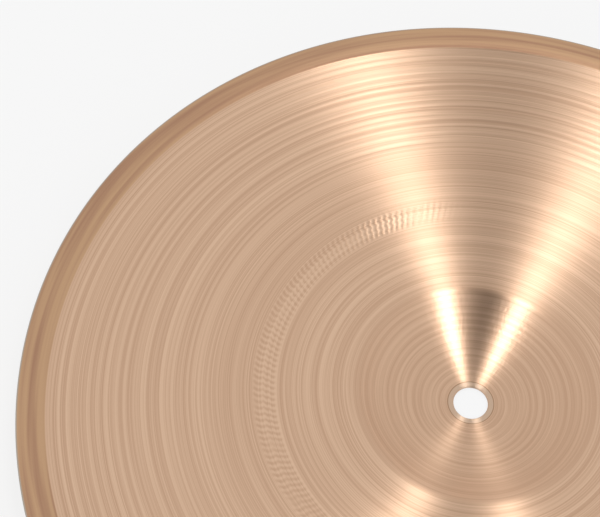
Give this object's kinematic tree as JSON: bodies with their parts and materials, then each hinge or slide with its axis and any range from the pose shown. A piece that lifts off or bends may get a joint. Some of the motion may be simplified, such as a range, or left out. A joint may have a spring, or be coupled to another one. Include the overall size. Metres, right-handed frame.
{
  "type": "splash cymbal",
  "caption": "Thin lathed bronze splash cymbal with a domed bell, a mounting hole and a smooth unlathed band at the rim of its underside.",
  "frame": {"origin": "centre of the outer face of the bell's crown, on which the cymbal lies, on the axis of the hole", "axes": "+Z along the cymbal's axis, out of its hollow underside, which faces up as in the picture; X and Y are alike"},
  "size_m": [0.3048, 0.3048, 0.0257],
  "materials": {
    "lathed_bronze": "fine circular lathe lines in a satin sheen, with a smoother band at the rim"
  },
  "bodies": {
    "root": {"cymbal": "lathed_bronze"}
  },
  "joints": []
}
